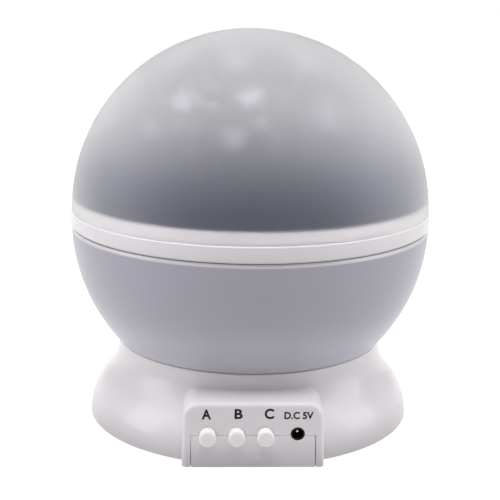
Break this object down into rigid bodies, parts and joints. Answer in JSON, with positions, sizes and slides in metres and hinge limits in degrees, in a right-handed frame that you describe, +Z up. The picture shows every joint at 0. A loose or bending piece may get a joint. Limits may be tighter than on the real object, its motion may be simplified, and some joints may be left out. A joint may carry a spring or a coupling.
{
  "type": "rotating star projector night light",
  "caption": "Globe night light with a frosted lift-off cover over a star dome, turning on a flared base with push buttons, a battery bay and a power socket.",
  "frame": {"origin": "on the globe's axis, at the height that the rubber feet stand on", "axes": "+Z up along the globe's axis, the control box with its buttons faces -Y, +X to the viewer's right"},
  "size_m": [0.126, 0.126, 0.1362],
  "materials": {
    "shell_white": "satin injection-moulded white",
    "bowl_lilac": "satin lavender grey",
    "frosted_clear": "frosted translucent",
    "dome_dark": "dark film with pale cut-out windows",
    "rubber_grey": "matte",
    "screw_steel": "zinc plated",
    "cell_jacket": "printed foil jacket, no lettering",
    "contact_nickel": "nickel plated",
    "board_green": "solder mask",
    "switch_black": "matte",
    "jack_black": "gloss",
    "core_white": "matte",
    "nylon_natural": "natural nylon",
    "motor_steel": "galvanised",
    "lamp_lens": "clear epoxy",
    "wire_red": "insulation",
    "wire_white": "insulation",
    "wire_blue": "insulation",
    "wire_black": "insulation",
    "button_warm": "soft translucent white"
  },
  "bodies": {
    "base": {"base_shell": "shell_white", "bottom_cover": "shell_white", "rubber_feet": "rubber_grey", "cover_screws": "screw_steel", "battery_cells": "cell_jacket", "battery_contacts": "contact_nickel", "battery_springs": "contact_nickel", "control_board": "board_green", "board_screws": "screw_steel", "switch_bodies": "switch_black", "control_chip": "switch_black", "dc_jack": "jack_black", "dc_jack_pin": "contact_nickel", "centre_post": "core_white", "post_screws": "screw_steel", "lower_washer": "nylon_natural", "upper_washer": "nylon_natural", "retaining_clip": "contact_nickel", "core_platform": "core_white", "gear_motor": "motor_steel", "motor_screws": "screw_steel", "led_tower": "core_white", "tower_screws": "screw_steel", "led_board": "board_green", "led_lamps": "lamp_lens", "led_board_screws": "screw_steel", "led_wires": "wire_white", "motor_wires": "wire_blue", "battery_wires": "wire_red", "jack_wires": "wire_black"},
    "door": {"battery_door": "shell_white", "door_screws": "screw_steel"},
    "globe": {"lower_bowl": "bowl_lilac", "hub_gear": "nylon_natural", "gear_screws": "screw_steel", "deck_plate": "core_white", "deck_screws": "screw_steel", "collar_ring": "shell_white", "star_dome": "dome_dark"},
    "cover": {"frosted_cover": "frosted_clear"},
    "pinion": {"drive_pinion": "nylon_natural", "motor_shaft": "contact_nickel"},
    "key_a": {"button_a": "button_warm", "plunger_a": "switch_black"},
    "key_b": {"button_b": "button_warm", "plunger_b": "switch_black"},
    "key_c": {"button_c": "button_warm", "plunger_c": "switch_black"}
  },
  "joints": [
    {"name": "globe_spin", "type": "hinge", "parent": "base", "child": "globe", "pos_m": [0, 0, 0.0233], "axis": [0, 0, 1], "continuous": true},
    {"name": "pinion_spin", "type": "hinge", "parent": "base", "child": "pinion", "pos_m": [0, 0.03, 0.03], "axis": [0, 0, 1], "continuous": true},
    {"name": "cover_lift", "type": "slide", "parent": "globe", "child": "cover", "axis": [0, 0, 1], "range_m": [0, 0.065]},
    {"name": "door_drop", "type": "slide", "parent": "base", "child": "door", "axis": [0, 0, -1], "range_m": [0, 0.03]},
    {"name": "button_a_press", "type": "slide", "parent": "base", "child": "key_a", "axis": [0, 1, 0], "range_m": [0, 0.0005], "stiffness_N_per_m": 800, "springref_m": -0.0005},
    {"name": "button_b_press", "type": "slide", "parent": "base", "child": "key_b", "axis": [0, 1, 0], "range_m": [0, 0.0005], "stiffness_N_per_m": 800, "springref_m": -0.0005},
    {"name": "button_c_press", "type": "slide", "parent": "base", "child": "key_c", "axis": [0, 1, 0], "range_m": [0, 0.0005], "stiffness_N_per_m": 800, "springref_m": -0.0005}
  ],
  "couplings": [
    {"joint": "pinion_spin", "follows": "globe_spin", "ratio": -4}
  ]
}
